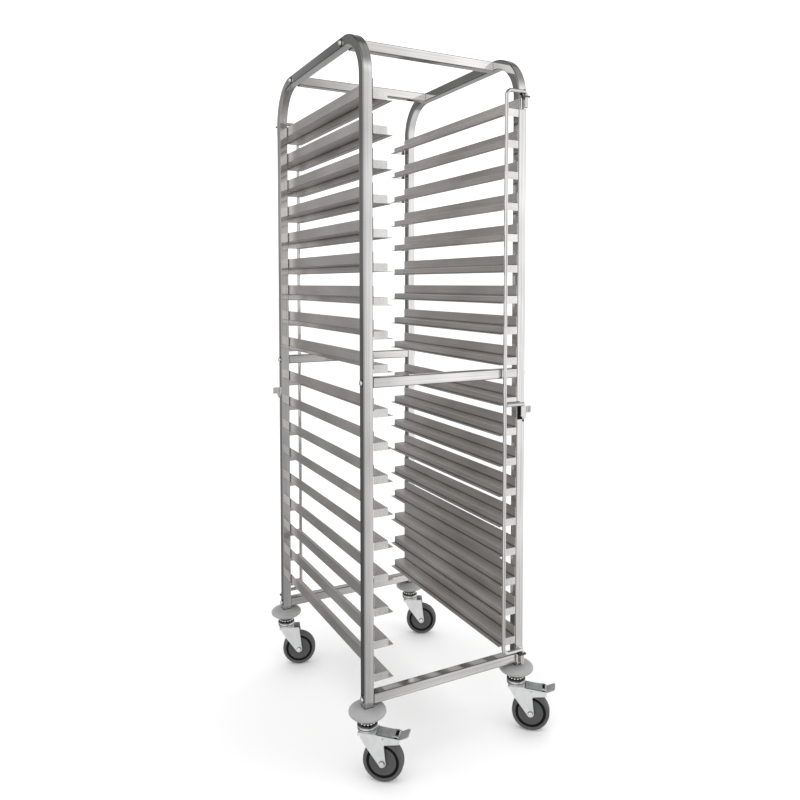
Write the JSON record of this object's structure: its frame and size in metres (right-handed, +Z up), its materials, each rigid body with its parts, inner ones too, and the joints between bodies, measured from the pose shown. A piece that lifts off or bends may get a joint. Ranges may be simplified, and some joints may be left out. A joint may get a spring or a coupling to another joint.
{
  "type": "sheet pan rack",
  "caption": "Tall steel sheet pan rack on swivel castors, with folded tray runners on two side frames and a swinging retaining bar at each end.",
  "frame": {"origin": "on the floor, under the middle of the bounding box", "axes": "+Z up; the rack's front, with the braked castors, faces -Y; the trays slide in along +Y; +X to the right seen from the front"},
  "size_m": [0.5756, 0.7408, 1.796],
  "materials": {
    "polished_steel": "polished",
    "satin_steel": "satin",
    "zinc_steel": "zinc plated",
    "grey_plastic": "matte",
    "pedal_grey": "satin",
    "grey_rubber": "matte"
  },
  "bodies": {
    "rack": {"right_side_frame": "polished_steel", "left_side_frame": "polished_steel", "top_front_beam": "polished_steel", "top_rear_beam": "polished_steel", "middle_front_beam": "polished_steel", "middle_rear_beam": "polished_steel", "bottom_front_beam": "polished_steel", "bottom_rear_beam": "polished_steel", "runner_right_01": "satin_steel", "runner_left_01": "satin_steel", "runner_right_02": "satin_steel", "runner_left_02": "satin_steel", "runner_right_03": "satin_steel", "runner_left_03": "satin_steel", "runner_right_04": "satin_steel", "runner_left_04": "satin_steel", "runner_right_05": "satin_steel", "runner_left_05": "satin_steel", "runner_right_06": "satin_steel", "runner_left_06": "satin_steel", "runner_right_07": "satin_steel", "runner_left_07": "satin_steel", "runner_right_08": "satin_steel", "runner_left_08": "satin_steel", "runner_right_09": "satin_steel", "runner_left_09": "satin_steel", "runner_right_10": "satin_steel", "runner_left_10": "satin_steel", "runner_right_11": "satin_steel", "runner_left_11": "satin_steel", "runner_right_12": "satin_steel", "runner_left_12": "satin_steel", "runner_right_13": "satin_steel", "runner_left_13": "satin_steel", "runner_right_14": "satin_steel", "runner_left_14": "satin_steel", "runner_right_15": "satin_steel", "runner_left_15": "satin_steel", "runner_right_16": "satin_steel", "runner_left_16": "satin_steel", "runner_right_17": "satin_steel", "runner_left_17": "satin_steel", "runner_right_18": "satin_steel", "runner_left_18": "satin_steel", "front_left_bumper": "grey_plastic", "front_right_bumper": "grey_plastic", "rear_left_bumper": "grey_plastic", "rear_right_bumper": "grey_plastic"},
    "front_left_swivel": {"front_left_fork": "zinc_steel"},
    "front_left_wheel": {"front_left_wheel": "grey_rubber"},
    "front_left_brake": {"front_left_brake_pedal": "pedal_grey"},
    "front_right_swivel": {"front_right_fork": "zinc_steel"},
    "front_right_wheel": {"front_right_wheel": "grey_rubber"},
    "front_right_brake": {"front_right_brake_pedal": "pedal_grey"},
    "rear_left_swivel": {"rear_left_fork": "zinc_steel"},
    "rear_left_wheel": {"rear_left_wheel": "grey_rubber"},
    "rear_right_swivel": {"rear_right_fork": "zinc_steel"},
    "rear_right_wheel": {"rear_right_wheel": "grey_rubber"},
    "front_bar": {"front_retaining_bar": "polished_steel"},
    "rear_bar": {"rear_retaining_bar": "polished_steel"}
  },
  "joints": [
    {"name": "front_left_swivel", "type": "hinge", "parent": "rack", "child": "front_left_swivel", "pos_m": [-0.24181, -0.29054, 0.13], "axis": [0, 0, 1], "continuous": true},
    {"name": "front_left_wheel_spin", "type": "hinge", "parent": "front_left_swivel", "child": "front_left_wheel", "pos_m": [-0.21072, -0.31571, 0.05], "axis": [0.6293, 0.7771, 0], "continuous": true},
    {"name": "front_left_brake_press", "type": "hinge", "parent": "front_left_swivel", "child": "front_left_brake", "pos_m": [-0.20917, -0.31697, 0.111], "axis": [0.6293, 0.7771, 0], "range_deg": [0, 10]},
    {"name": "front_right_swivel", "type": "hinge", "parent": "rack", "child": "front_right_swivel", "pos_m": [0.19719, -0.29054, 0.13], "axis": [0, 0, 1], "continuous": true},
    {"name": "front_right_wheel_spin", "type": "hinge", "parent": "front_right_swivel", "child": "front_right_wheel", "pos_m": [0.22783, -0.31625, 0.05], "axis": [0.6428, 0.766, 0], "continuous": true},
    {"name": "front_right_brake_press", "type": "hinge", "parent": "front_right_swivel", "child": "front_right_brake", "pos_m": [0.22936, -0.31753, 0.111], "axis": [0.6428, 0.766, 0], "range_deg": [0, 10]},
    {"name": "rear_left_swivel", "type": "hinge", "parent": "rack", "child": "rear_left_swivel", "pos_m": [-0.24181, 0.32446, 0.13], "axis": [0, 0, 1], "continuous": true},
    {"name": "rear_left_wheel_spin", "type": "hinge", "parent": "rear_left_swivel", "child": "rear_left_wheel", "pos_m": [-0.20472, 0.30948, 0.05], "axis": [0.3746, 0.9272, 0], "continuous": true},
    {"name": "rear_right_swivel", "type": "hinge", "parent": "rack", "child": "rear_right_swivel", "pos_m": [0.19719, 0.32446, 0.13], "axis": [0, 0, 1], "continuous": true},
    {"name": "rear_right_wheel_spin", "type": "hinge", "parent": "rear_right_swivel", "child": "rear_right_wheel", "pos_m": [0.23183, 0.30446, 0.05], "axis": [0.5, 0.866, 0], "continuous": true},
    {"name": "front_bar_swing", "type": "hinge", "parent": "rack", "child": "front_bar", "pos_m": [0.20069, -0.31304, 0.95], "axis": [0, 0, 1], "range_deg": [0, 180]},
    {"name": "rear_bar_swing", "type": "hinge", "parent": "rack", "child": "rear_bar", "pos_m": [-0.24531, 0.34696, 0.95], "axis": [0, 0, 1], "range_deg": [0, 180]}
  ]
}
